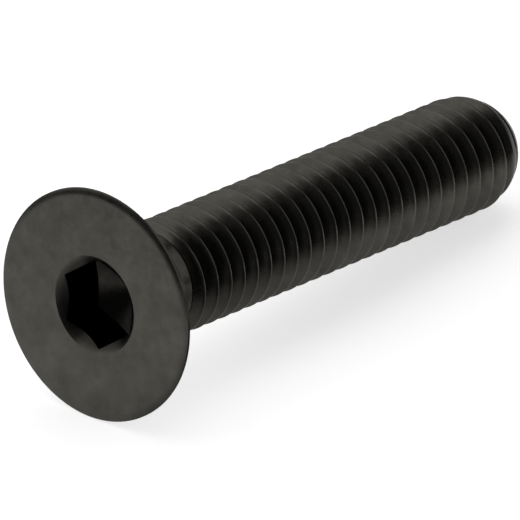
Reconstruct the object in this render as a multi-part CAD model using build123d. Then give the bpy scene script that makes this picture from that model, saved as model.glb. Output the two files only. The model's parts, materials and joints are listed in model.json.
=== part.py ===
from build123d import *
import os
from math import atan2, cos, degrees, radians, tan

# A countersunk machine screw with a hexagon socket, size M6 x 30, in black-oxide steel.
# It is one forged and turned piece. It is drawn upright about its own axis, with the
# flat face of the head at zero and the point at the top, and is then laid down the way
# it comes to rest on a table: on the rim of its head and the end of its thread.
# All lengths are in millimetres and all angles in degrees.

# Driving dimensions: the screw as a whole
overall_length = 30.0
thread_diameter = 5.9
neck_diameter = 5.3
head_diameter = 11.8

# Driving dimensions: the head
countersink_angle = 90.0
edge_round_width = 0.35
edge_round_height = 0.14
rim_thickness = 0.12
neck_fillet_radius = 0.8

# Driving dimensions: the shank
neck_length = 0.7
thread_lead_in_angle = 45.0
point_length = 2.2
point_end_diameter = 3.8
point_bulge = 0.2

# Driving dimensions: the hexagon socket
socket_across_flats = 4.0
socket_depth = 2.5
socket_bottom_angle = 130.0
socket_mouth_diameter = 5.0
socket_mouth_angle = 100.0
socket_turn = 8.0

# Places that follow from the driving dimensions
head_radius = head_diameter / 2
thread_radius = thread_diameter / 2
neck_radius = neck_diameter / 2
rim_back = edge_round_height + rim_thickness
cone_end = rim_back + (head_radius - neck_radius) / tan(radians(countersink_angle / 2))
neck_end = cone_end + neck_length
lead_in_end = neck_end + (thread_radius - neck_radius) / tan(radians(thread_lead_in_angle))
point_start = overall_length - point_length


def half_section():
    """The outline on one side of the axis, with the radius along X and the axis along Z."""
    with BuildSketch(Plane.XZ) as section:
        with BuildLine():
            face = Line((0, 0), (head_radius - edge_round_width, 0))
            edge = TangentArc(face @ 1, (head_radius, edge_round_height), tangent=face % 1)
            rim = Line(edge @ 1, (head_radius, rim_back))
            cone_and_neck = FilletPolyline(
                rim @ 1,
                (neck_radius, cone_end),
                (neck_radius, neck_end),
                radius=neck_fillet_radius,
            )
            lead_in = Line(cone_and_neck @ 1, (thread_radius, lead_in_end))
            shank = Line(lead_in @ 1, (thread_radius, point_start))
            point = SagittaArc(shank @ 1, (point_end_diameter / 2, overall_length), -point_bulge)
            end = Line(point @ 1, (0, overall_length))
            Line(end @ 1, face @ 0)
        make_face()
    return section.sketch


def socket_tool():
    """What the hexagon socket takes out: a hexagonal bar with a cone at each end."""
    flat_radius = socket_across_flats / 2
    corner_radius = flat_radius / cos(radians(30))
    bottom_slope = tan(radians(90 - socket_bottom_angle / 2))
    tip_depth = socket_depth + corner_radius * bottom_slope
    hexagon = RegularPolygon(radius=corner_radius, side_count=6, rotation=-socket_turn)
    from_face = (Align.CENTER, Align.CENTER, Align.MIN)
    bottom = Cone(tip_depth / bottom_slope, 0, tip_depth, align=from_face)
    mouth_radius = socket_mouth_diameter / 2
    mouth_cone_height = mouth_radius / tan(radians(socket_mouth_angle / 2))
    mouth = Cone(mouth_radius, 0, mouth_cone_height, align=from_face)
    return (extrude(hexagon, tip_depth) & bottom) + mouth


def upright_screw():
    """The whole screw about the Z axis, with the flat face of its head at zero."""
    return revolve(half_section(), axis=Axis.Z) - socket_tool()


def lay_down(screw):
    """Turn the point to +X and let it sink until the thread's end touches the ground too."""
    rest_tilt = degrees(atan2(head_radius - thread_radius, point_start - rim_back))
    lying = Rot(Y=90 + rest_tilt) * screw
    box = lying.bounding_box()
    return Pos(-box.center().X, -box.center().Y, -box.min.Z) * lying


os.makedirs("parts", exist_ok=True)
countersunk_screw = lay_down(upright_screw())
export_step(countersunk_screw, "parts/countersunk_screw.step")
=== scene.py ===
import json
import math

import bmesh
import bpy
import numpy as np
from mathutils import Matrix, Vector


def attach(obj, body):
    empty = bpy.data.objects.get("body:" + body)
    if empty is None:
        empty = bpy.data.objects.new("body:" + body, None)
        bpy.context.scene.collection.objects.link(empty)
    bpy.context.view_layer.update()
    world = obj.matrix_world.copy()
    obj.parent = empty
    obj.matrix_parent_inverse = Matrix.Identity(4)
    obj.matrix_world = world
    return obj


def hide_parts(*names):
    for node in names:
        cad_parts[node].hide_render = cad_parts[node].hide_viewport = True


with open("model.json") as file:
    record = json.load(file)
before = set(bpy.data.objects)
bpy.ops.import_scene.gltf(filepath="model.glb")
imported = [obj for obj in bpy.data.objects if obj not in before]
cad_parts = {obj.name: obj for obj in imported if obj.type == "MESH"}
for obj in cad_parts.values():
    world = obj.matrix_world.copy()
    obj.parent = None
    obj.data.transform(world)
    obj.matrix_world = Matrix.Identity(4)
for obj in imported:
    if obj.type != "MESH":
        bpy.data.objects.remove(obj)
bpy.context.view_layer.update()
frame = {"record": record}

# The looks of a countersunk socket screw, M6 x 30, in black-oxide steel, lying on a table.
# The screw's own sizes are in millimetres along and round its axis, with the flat face of
# the head at zero. They turn into metres where the mesh is laid into the frame.
MM = 0.001
mounts = {mount["name"]: mount for mount in frame["record"]["mounts"]}

# The head. Its edge is a little sharper than the CAD part's, and is trimmed to stay inside
# the part's box.
HEAD_TRIM = 0.015
HEAD_RADIUS = mounts["countersunk_seat"]["dims"]["r_mm"] - HEAD_TRIM
EDGE_ROUND_WIDTH = 0.38
EDGE_ROUND_HEIGHT = 0.07
RIM_THICKNESS = 0.13
CONE_ANGLE = math.radians(45)
NECK_FILLET_RADIUS = 0.6

# The shank
OVERALL_LENGTH = 30.0
CREST_RADIUS = mounts["thread"]["dims"]["r_mm"]
NECK_RADIUS = 2.62
POINT_LENGTH = 2.2
POINT_END_RADIUS = 1.9
POINT_BULGE = 0.2

# The thread: a right-hand metric profile with a rounded root and rounded crests. The first
# crest's place is the one on the side of the screw that faces the camera.
PITCH = 1.0
THREAD_DEPTH = 0.58 * PITCH
ROOT_RADIUS = CREST_RADIUS - THREAD_DEPTH
ROOT_ROUND_RADIUS = 0.144 * PITCH
FLANK_ANGLE = math.radians(30)
CREST_ROUNDING = 0.07
THREAD_START = 4.2
LEAD_IN_ANGLE = math.radians(60)
RUN_OUT_LENGTH = 0.5 * PITCH
NEAR_SIDE = math.radians(234.8)
FIRST_CREST = 4.75

# The hexagon socket, as the CAD part has it
SOCKET_FLAT_RADIUS = mounts["key_socket"]["dims"]["r_mm"]
SOCKET_DEPTH = mounts["key_socket"]["dims"]["length_mm"]
SOCKET_BOTTOM_SLOPE = 1 / math.tan(math.radians(130 / 2))
SOCKET_MOUTH_RADIUS = 2.5
SOCKET_MOUTH_SLOPE = 1 / math.tan(math.radians(100 / 2))
SOCKET_TURN = math.radians(8)

# The mesh: a column of points runs along each corner of the socket. Shares in the functions
# below set its rows, which lie close together at the edges to keep the shading crisp there.
COLUMNS = 144
EDGE_ROUND_ROWS = 6
NECK_FILLET_ROWS = 8
WELD_DISTANCE = 2e-7
SHARP_ANGLE = math.radians(35)
columns = np.arange(COLUMNS)
angles = 2 * math.pi * columns / COLUMNS - SOCKET_TURN

# Radii and places along the axis that follow from the sizes above
FACE_RADIUS = HEAD_RADIUS - EDGE_ROUND_WIDTH
RIM_BACK = EDGE_ROUND_HEIGHT + RIM_THICKNESS
CONE_END = RIM_BACK + (HEAD_RADIUS - NECK_RADIUS) / math.tan(CONE_ANGLE)
FILLET_TANGENT = NECK_FILLET_RADIUS * math.tan(CONE_ANGLE / 2)
FILLET_END = CONE_END + FILLET_TANGENT
POINT_START = OVERALL_LENGTH - POINT_LENGTH

# The camera and the picture
PICTURE_SIZE = 520
FOCAL_PIXELS = 22000
SENSOR_WIDTH = 36.0
CAMERA_HEADING = math.radians(40.29)
CAMERA_DIP = math.radians(28.27)
CAMERA_DISTANCE = 1.0653
HEAD_IN_PICTURE = (94.6, 305.3)
CLIP_START = 0.01
CLIP_END = 20.0

# The oxide: colours that vary in clouds, a satin shine that varies too, and a fine grain. The
# scales are per metre and the grain's height is in metres. In the socket the colour falls to a
# share of itself within a short depth, in millimetres: painted shade in the recess.
OXIDE_DARK = (0.064, 0.062, 0.054, 1)
OXIDE_LIGHT = (0.088, 0.085, 0.075, 1)
OXIDE_EDGE = (0.65, 0.65, 0.65, 1)
PATTERN_LOW = 0.3
PATTERN_HIGH = 0.7
CLOUD_SCALE = 900.0
CLOUD_DETAIL = 6.0
SATIN_SCALE = 2500.0
SATIN_DETAIL = 4.0
ROUGHNESS_LOW = 0.24
ROUGHNESS_HIGH = 0.34
GRAIN_SCALE = 9000.0
GRAIN_DETAIL = 3.0
GRAIN_STRENGTH = 0.15
GRAIN_HEIGHT = 0.00002
SOCKET_SHADE_DEPTH = 0.25
SOCKET_SHADE_SHARE = 0.35

# The light: a dim room, a wide softbox beyond the screw that shows as a white screen, a window
# on the right and a white sheet under the screw. The sheet has soft edges and also glows in the
# screw's shine alone, a painted reflection, and a dark patch before the screw is painted shade in
# that shine. Lengths are in metres.
ROOM_LEVEL = 0.07
FLOOR_SIZE = 6.0
FLOOR_ROUGHNESS = 0.9
SHEET_COLOUR = 0.8
TABLE_COLOUR = 0.1
SHEET_GLOW = 0.66
# Painted reflection: the sheet glows in the screw's shine alone, though it is no lamp.
SHEET_PAINTED_REFLECTION = 0.57
SHEET_EDGE_START = 0.048
SHEET_EDGE_END = 0.07
# Painted shade: a dark patch on the sheet before the screw, which darkens the screw's shine.
SHADE_PATCH_MIDDLE = (-0.018, -0.033, 0.0)
SHADE_PATCH_EDGE_START = 0.022
SHADE_PATCH_EDGE_END = 0.036
SOFTBOX_HEADING = math.radians(88.5)
SOFTBOX_HEIGHT = math.radians(42)
SOFTBOX_DISTANCE = 0.35
SOFTBOX_SIZE = 1.0
SOFTBOX_BRIGHTNESS = 1.0
SCREEN_EDGE_START = math.radians(51)
SCREEN_EDGE_END = math.radians(58)
WINDOW_HEADING = math.radians(-27)
WINDOW_HEIGHT = math.radians(24)
WINDOW_DISTANCE = 0.6
WINDOW_SIZE = 0.58
WINDOW_BRIGHTNESS = 0.52


def ring(radius, height):
    """One row of the mesh: the radius and the height at every column."""
    return np.full(COLUMNS, radius, float), np.full(COLUMNS, height, float)


def socket_rows():
    """The socket, from the tip of its drilled bottom up to its countersunk mouth."""
    half_flat = math.radians(30)
    from_flat = np.mod(angles + SOCKET_TURN, 2 * half_flat) - half_flat
    wall = SOCKET_FLAT_RADIUS / np.cos(from_flat)
    tip = SOCKET_DEPTH + SOCKET_FLAT_RADIUS / math.cos(half_flat) * SOCKET_BOTTOM_SLOPE
    bottom = tip - wall * SOCKET_BOTTOM_SLOPE
    mouth = (SOCKET_MOUTH_RADIUS - wall) * SOCKET_MOUTH_SLOPE
    rows = [ring(0, tip)]
    for share in (0.1, 0.4, 0.7, 0.95, 1.0):
        rows.append((share * wall, tip + share * (bottom - tip)))
    for share in (0.03, 0.25, 0.5, 0.75, 0.97, 1.0):
        rows.append((wall, bottom + share * (mouth - bottom)))
    for share in (0.1, 0.5, 0.9, 1.0):
        rows.append((wall + share * (SOCKET_MOUTH_RADIUS - wall), (1 - share) * mouth))
    return rows


def head_rows():
    """The head's face, its rounded edge, the rim, the cone, and the neck with its fillet."""
    rows = []
    for share in (0.02, 0.1, 0.5, 0.9, 0.98, 1.0):
        rows.append(ring(SOCKET_MOUTH_RADIUS + share * (FACE_RADIUS - SOCKET_MOUTH_RADIUS), 0))
    round_radius = (EDGE_ROUND_WIDTH**2 + EDGE_ROUND_HEIGHT**2) / (2 * EDGE_ROUND_HEIGHT)
    round_turn = math.asin(EDGE_ROUND_WIDTH / round_radius)
    for turn in np.linspace(0, round_turn, EDGE_ROUND_ROWS + 1)[1:]:
        rows.append(ring(FACE_RADIUS + round_radius * math.sin(turn), round_radius * (1 - math.cos(turn))))
    for share in (0.1, 0.9, 1.0):
        rows.append(ring(HEAD_RADIUS, EDGE_ROUND_HEIGHT + share * RIM_THICKNESS))
    fillet_start = CONE_END - FILLET_TANGENT * math.cos(CONE_ANGLE)
    for share in (0.01, 0.3, 0.6, 0.99, 1.0):
        height = RIM_BACK + share * (fillet_start - RIM_BACK)
        rows.append(ring(HEAD_RADIUS - (height - RIM_BACK) * math.tan(CONE_ANGLE), height))
    centre = NECK_RADIUS + NECK_FILLET_RADIUS
    for turn in np.linspace(CONE_ANGLE, 0, NECK_FILLET_ROWS + 1)[1:]:
        rows.append(ring(centre - NECK_FILLET_RADIUS * math.cos(turn),
                         FILLET_END - NECK_FILLET_RADIUS * math.sin(turn)))
    for share in (0.1, 0.5, 1.0):
        rows.append(ring(NECK_RADIUS, FILLET_END + share * (THREAD_START - FILLET_END)))
    return rows


def thread_profile():
    """Places across one pitch, from the middle of the groove, and the radius at each."""
    round_end = ROOT_ROUND_RADIUS * math.cos(FLANK_ANGLE)
    flank_foot = ROOT_RADIUS + ROOT_ROUND_RADIUS * (1 - math.sin(FLANK_ANGLE))
    flank_end = round_end + (CREST_RADIUS - flank_foot) * math.tan(FLANK_ANGLE)
    half = PITCH / 2
    crest = half - flank_end
    places = [0, round_end / 3, 2 * round_end / 3, round_end, (round_end + flank_end) / 2,
              flank_end - crest / 2, flank_end, flank_end + crest / 2, half]
    across = np.array([-place for place in places[:0:-1]] + places[:-1])
    off = np.abs(across)
    arc = ROOT_RADIUS + ROOT_ROUND_RADIUS - np.sqrt(np.maximum(ROOT_ROUND_RADIUS**2 - off**2, 0))
    flank = flank_foot + (off - round_end) / math.tan(FLANK_ANGLE)
    over = flank - CREST_RADIUS
    rounded = CREST_RADIUS + (over - np.sqrt(over**2 + CREST_ROUNDING**2)) / 2
    return across, np.where(off < round_end, arc, rounded)


def groove_bottom(height):
    """The least that the radius can be at a height: the groove starts at the neck and deepens."""
    deepened = np.clip((height - THREAD_START) / RUN_OUT_LENGTH, 0, 1)
    return NECK_RADIUS + (ROOT_RADIUS - NECK_RADIUS) * deepened * deepened * (3 - 2 * deepened)


def point_envelope(height):
    """The most that the radius can be at a height: the bulging taper of the point."""
    fall = CREST_RADIUS - POINT_END_RADIUS
    chord = math.hypot(fall, POINT_LENGTH)
    arc_radius = (chord**2 / 4 + POINT_BULGE**2) / (2 * POINT_BULGE)
    inward = arc_radius - POINT_BULGE
    middle_radius = (CREST_RADIUS + POINT_END_RADIUS) / 2 - inward * POINT_LENGTH / chord
    middle_height = (POINT_START + OVERALL_LENGTH) / 2 - inward * fall / chord
    reach = np.maximum(arc_radius**2 - (height - middle_height)**2, 0)
    return np.where(height > POINT_START, middle_radius + np.sqrt(reach), CREST_RADIUS)


def thread_rows():
    """The threaded shank. Each row climbs by one pitch in one turn and joins the row above it."""
    across, radii = thread_profile()
    crest_at_first_column = FIRST_CREST - PITCH * (NEAR_SIDE + SOCKET_TURN) / (2 * math.pi)
    groove = (crest_at_first_column + PITCH / 2) % PITCH
    first_turn = math.floor((THREAD_START - groove) / PITCH) - 1
    last_turn = math.ceil((OVERALL_LENGTH - groove) / PITCH) + 1
    rows = []
    for turn in range(first_turn, last_turn + 1):
        for place, radius in zip(across, radii):
            free = groove + turn * PITCH + place + PITCH * columns / COLUMNS
            height = np.clip(free, THREAD_START, OVERALL_LENGTH)
            formed = np.maximum(radius, groove_bottom(height))
            lead_in = NECK_RADIUS + (height - THREAD_START) * math.tan(LEAD_IN_ANGLE)
            rows.append((np.minimum(np.minimum(formed, lead_in), point_envelope(height)), height))
    return rows, len(across)


def end_rows():
    """The flat end of the point, in to the middle."""
    return [ring(share * POINT_END_RADIUS, OVERALL_LENGTH) for share in (1.0, 0.98, 0.6, 0)]


def join(faces, start, rows, climb):
    """Faces between rows in turn. At the seam a row meets the one that is climb rows further on."""
    for row in range(start, start + rows - 1):
        for column in range(COLUMNS - 1):
            here = row * COLUMNS + column
            faces.append((here, here + 1, here + 1 + COLUMNS, here + COLUMNS))
    for row in range(start, start + rows - 1 - climb):
        last = row * COLUMNS + COLUMNS - 1
        first = (row + climb) * COLUMNS
        faces.append((last, first, first + COLUMNS, last + COLUMNS))


def screw_placing():
    """The frame's place of the screw: its axis, and the directions that its angles start from."""
    axis = Vector(mounts["thread"]["axis"])
    side = Vector((0, 1, 0))
    down = side.cross(axis)
    place = Matrix.Identity(4)
    for number, way in enumerate((down, side, axis)):
        place.col[number][:3] = way
    place.translation = Vector(mounts["head_face"]["pos_m"])
    return place


def screw_mesh():
    """The whole screw as one closed mesh."""
    socket = socket_rows()
    before = socket + head_rows()
    thread, rows_per_turn = thread_rows()
    after = end_rows()
    faces = []
    join(faces, 0, len(before), 0)
    join(faces, len(before), len(thread), rows_per_turn)
    join(faces, len(before) + len(thread), len(after), 0)
    points = np.concatenate([
        np.stack([radius * np.cos(angles), radius * np.sin(angles), height], axis=1)
        for radius, height in before + thread + after
    ])
    mesh = bpy.data.meshes.new("screw")
    mesh.from_pydata((points * MM).tolist(), [], faces)
    # Painted shade in the socket: a share that grows with depth and darkens the colour there.
    socket_painted_shade = np.zeros(len(points))
    in_socket = len(socket) * COLUMNS
    socket_painted_shade[:in_socket] = np.minimum(points[:in_socket, 2] / SOCKET_SHADE_DEPTH, 1)
    mesh.attributes.new("socket_painted_shade", "FLOAT", "POINT").data.foreach_set("value", socket_painted_shade)
    mesh.transform(screw_placing())
    work = bmesh.new()
    work.from_mesh(mesh)
    bmesh.ops.remove_doubles(work, verts=work.verts, dist=WELD_DISTANCE)
    bmesh.ops.dissolve_degenerate(work, edges=work.edges, dist=WELD_DISTANCE)
    bmesh.ops.recalc_face_normals(work, faces=work.faces)
    work.to_mesh(mesh)
    work.free()
    mesh.polygons.foreach_set("use_smooth", [True] * len(mesh.polygons))
    mesh.set_sharp_from_angle(angle=SHARP_ANGLE)
    return mesh


def add_node(nodes, kind, **values):
    """A shader node with its settings and the values of its inputs."""
    node = nodes.new(kind)
    for name, value in values.items():
        if name in node.inputs.keys():
            node.inputs[name].default_value = value
        else:
            setattr(node, name, value)
    return node


def noise(nodes, links, where, scale, detail):
    """A cloudy pattern that stays with the screw."""
    pattern = add_node(nodes, "ShaderNodeTexNoise", Scale=scale, Detail=detail)
    links.new(where.outputs["Object"], pattern.inputs["Vector"])
    return pattern.outputs["Fac"]


def black_oxide():
    """Black-oxide steel: a thin dark shine, satin and a little cloudy, with painted shade in the socket.
    """
    material = bpy.data.materials.new("black_oxide_steel")
    material.use_nodes = True
    nodes = material.node_tree.nodes
    links = material.node_tree.links
    shader = nodes["Principled BSDF"]
    shader.inputs["Metallic"].default_value = 1.0
    shader.inputs["Specular Tint"].default_value = OXIDE_EDGE
    where = add_node(nodes, "ShaderNodeTexCoord")

    tones = add_node(nodes, "ShaderNodeValToRGB")
    tones.color_ramp.elements[0].position = PATTERN_LOW
    tones.color_ramp.elements[0].color = OXIDE_DARK
    tones.color_ramp.elements[1].position = PATTERN_HIGH
    tones.color_ramp.elements[1].color = OXIDE_LIGHT
    links.new(noise(nodes, links, where, CLOUD_SCALE, CLOUD_DETAIL), tones.inputs["Fac"])
    # Painted shade in the socket: the colour falls to a share of itself.
    socket_painted_shade = add_node(nodes, "ShaderNodeAttribute", attribute_name="socket_painted_shade")
    shaded_tones = add_node(nodes, "ShaderNodeVectorMath", operation="SCALE")
    links.new(tones.outputs["Color"], shaded_tones.inputs["Vector"])
    links.new(blend(nodes, links, socket_painted_shade.outputs["Fac"], 1.0, SOCKET_SHADE_SHARE), shaded_tones.inputs["Scale"])
    links.new(shaded_tones.outputs["Vector"], shader.inputs["Base Color"])

    satin = noise(nodes, links, where, SATIN_SCALE, SATIN_DETAIL)
    rough = add_node(nodes, "ShaderNodeMapRange")
    rough.inputs["From Min"].default_value = PATTERN_LOW
    rough.inputs["From Max"].default_value = PATTERN_HIGH
    rough.inputs["To Min"].default_value = ROUGHNESS_LOW
    rough.inputs["To Max"].default_value = ROUGHNESS_HIGH
    links.new(satin, rough.inputs["Value"])
    links.new(rough.outputs["Result"], shader.inputs["Roughness"])

    grain = noise(nodes, links, where, GRAIN_SCALE, GRAIN_DETAIL)
    bump = add_node(nodes, "ShaderNodeBump", Strength=GRAIN_STRENGTH, Distance=GRAIN_HEIGHT)
    links.new(grain, bump.inputs["Height"])
    links.new(bump.outputs["Normal"], shader.inputs["Normal"])
    return material


def blend(nodes, links, share, at_zero, at_one):
    """A number that goes from one value to another as its share goes from zero to one."""
    level = add_node(nodes, "ShaderNodeMapRange")
    level.inputs["To Min"].default_value = at_zero
    level.inputs["To Max"].default_value = at_one
    links.new(share, level.inputs["Value"])
    return level.outputs["Result"]


def combine(nodes, links, operation, first, second):
    """Two numbers in one."""
    result = add_node(nodes, "ShaderNodeMath", operation=operation)
    links.new(first, result.inputs[0])
    links.new(second, result.inputs[1])
    return result.outputs[0]


def soften(nodes, links, value, at_zero, at_one):
    """A number that goes softly from zero to one while a value goes between two others."""
    level = add_node(nodes, "ShaderNodeMapRange", interpolation_type="SMOOTHSTEP")
    level.inputs["From Min"].default_value = at_zero
    level.inputs["From Max"].default_value = at_one
    links.new(value, level.inputs["Value"])
    return level.outputs["Result"]


def fade(nodes, links, where, middle, at_zero, at_one):
    """A number that goes softly from zero to one between two distances from a point."""
    away = add_node(nodes, "ShaderNodeVectorMath", operation="DISTANCE")
    away.inputs[1].default_value = middle
    links.new(where.outputs["Object"], away.inputs[0])
    return soften(nodes, links, away.outputs["Value"], at_zero, at_one)


def floor_material():
    """A white sheet that takes the screw's shadow. Outside it the table is white to the eye alone. In the
    screw's shine alone the sheet glows, a painted reflection, and a dark patch on it is painted shade.
    """
    material = bpy.data.materials.new("floor_white")
    material.use_nodes = True
    nodes = material.node_tree.nodes
    links = material.node_tree.links
    shader = nodes["Principled BSDF"]
    shader.inputs["Roughness"].default_value = FLOOR_ROUGHNESS
    shader.inputs["Specular IOR Level"].default_value = 0.0
    shader.inputs["Emission Color"].default_value = (1, 1, 1, 1)
    where = add_node(nodes, "ShaderNodeTexCoord")
    within = fade(nodes, links, where, (0, 0, 0), SHEET_EDGE_END, SHEET_EDGE_START)
    # Painted shade: the dark patch before the screw.
    beyond_shade_patch = fade(nodes, links, where, SHADE_PATCH_MIDDLE, SHADE_PATCH_EDGE_START, SHADE_PATCH_EDGE_END)
    white = combine(nodes, links, "MULTIPLY", within, beyond_shade_patch)
    colour = add_node(nodes, "ShaderNodeCombineColor")
    paleness = blend(nodes, links, white, TABLE_COLOUR, SHEET_COLOUR)
    for channel in ("Red", "Green", "Blue"):
        links.new(paleness, colour.inputs[channel])
    links.new(colour.outputs["Color"], shader.inputs["Base Color"])
    path = add_node(nodes, "ShaderNodeLightPath")
    to_eye = blend(nodes, links, white, 1.0, SHEET_GLOW)
    # Painted reflection: the sheet glows in the screw's shine alone.
    painted_reflection = blend(nodes, links, white, 0.0, SHEET_PAINTED_REFLECTION)
    seen = combine(nodes, links, "MULTIPLY", path.outputs["Is Camera Ray"], to_eye)
    shone = combine(nodes, links, "MULTIPLY", path.outputs["Is Glossy Ray"], painted_reflection)
    links.new(combine(nodes, links, "ADD", seen, shone), shader.inputs["Emission Strength"])
    return material


def add_floor():
    """The floor that the screw lies on."""
    bpy.ops.mesh.primitive_plane_add(size=FLOOR_SIZE, location=(0, 0, 0))
    floor = bpy.context.object
    floor.name = "floor"
    floor.data.materials.append(floor_material())


def add_world():
    """A dim room, white where the eye looks, with a white screen that shows in the screw's shine."""
    world = bpy.data.worlds.new("room")
    bpy.context.scene.world = world
    world.use_nodes = True
    nodes = world.node_tree.nodes
    links = world.node_tree.links
    background = nodes["Background"]
    background.inputs["Color"].default_value = (1, 1, 1, 1)
    where = add_node(nodes, "ShaderNodeTexCoord")
    facing = add_node(nodes, "ShaderNodeVectorMath", operation="DOT_PRODUCT")
    facing.inputs[1].default_value = direction(SOFTBOX_HEADING, SOFTBOX_HEIGHT)
    links.new(where.outputs["Generated"], facing.inputs[0])
    screen = soften(nodes, links, facing.outputs["Value"],
                    math.cos(SCREEN_EDGE_END), math.cos(SCREEN_EDGE_START))
    path = add_node(nodes, "ShaderNodeLightPath")
    shone = combine(nodes, links, "MULTIPLY", path.outputs["Is Glossy Ray"], screen)
    looked = combine(nodes, links, "MAXIMUM", path.outputs["Is Camera Ray"],
                     path.outputs["Is Transmission Ray"])
    seen = combine(nodes, links, "MAXIMUM", shone, looked)
    links.new(blend(nodes, links, seen, ROOM_LEVEL, 1.0), background.inputs["Strength"])


def direction(heading, height):
    """The way from the screw at a heading, from the side its point is on, and an angle upward."""
    return Vector((math.cos(height) * math.cos(heading),
                   math.cos(height) * math.sin(heading),
                   math.sin(height)))


def add_lamp(name, toward, distance, size, brightness, shows):
    """A soft round lamp. At a brightness of one it is white where it shows in the screw's shine."""
    lamp = bpy.data.lights.new(name, "AREA")
    lamp.shape = "DISK"
    lamp.size = size
    lamp.energy = brightness * math.pi * (math.pi / 4 * size**2)
    holder = bpy.data.objects.new(name, lamp)
    holder.location = distance * toward
    holder.rotation_euler = toward.to_track_quat("Z", "Y").to_euler()
    holder.visible_glossy = shows
    bpy.context.collection.objects.link(holder)


def add_camera():
    """The camera of the picture: a long lens that looks down at the screw from the head's side."""
    forward = direction(CAMERA_HEADING, -CAMERA_DIP)
    right = Vector((math.sin(CAMERA_HEADING), -math.cos(CAMERA_HEADING), 0))
    up = right.cross(forward)
    middle = PICTURE_SIZE / 2
    aside = (HEAD_IN_PICTURE[0] - middle) / FOCAL_PIXELS
    below = (HEAD_IN_PICTURE[1] - middle) / FOCAL_PIXELS
    lens = bpy.data.cameras.new("camera")
    lens.sensor_width = SENSOR_WIDTH
    lens.lens = SENSOR_WIDTH * FOCAL_PIXELS / PICTURE_SIZE
    lens.clip_start = CLIP_START
    lens.clip_end = CLIP_END
    camera = bpy.data.objects.new("camera", lens)
    place = Matrix.Identity(4)
    for number, way in enumerate((right, up, -forward)):
        place.col[number][:3] = way
    head = Vector(mounts["head_face"]["pos_m"])
    place.translation = head - CAMERA_DISTANCE * (forward + aside * right - below * up)
    camera.matrix_world = place
    bpy.context.collection.objects.link(camera)
    bpy.context.scene.camera = camera


add_camera()
screw = bpy.data.objects.new("screw_with_thread", screw_mesh())
bpy.context.collection.objects.link(screw)
screw.data.materials.append(black_oxide())
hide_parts("countersunk_screw")
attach(screw, "root")
add_floor()
add_world()
add_lamp("softbox", direction(SOFTBOX_HEADING, SOFTBOX_HEIGHT), SOFTBOX_DISTANCE, SOFTBOX_SIZE,
         SOFTBOX_BRIGHTNESS, shows=False)
add_lamp("window", direction(WINDOW_HEADING, WINDOW_HEIGHT), WINDOW_DISTANCE, WINDOW_SIZE,
         WINDOW_BRIGHTNESS, shows=True)

bpy.context.scene.view_settings.view_transform = "Standard"
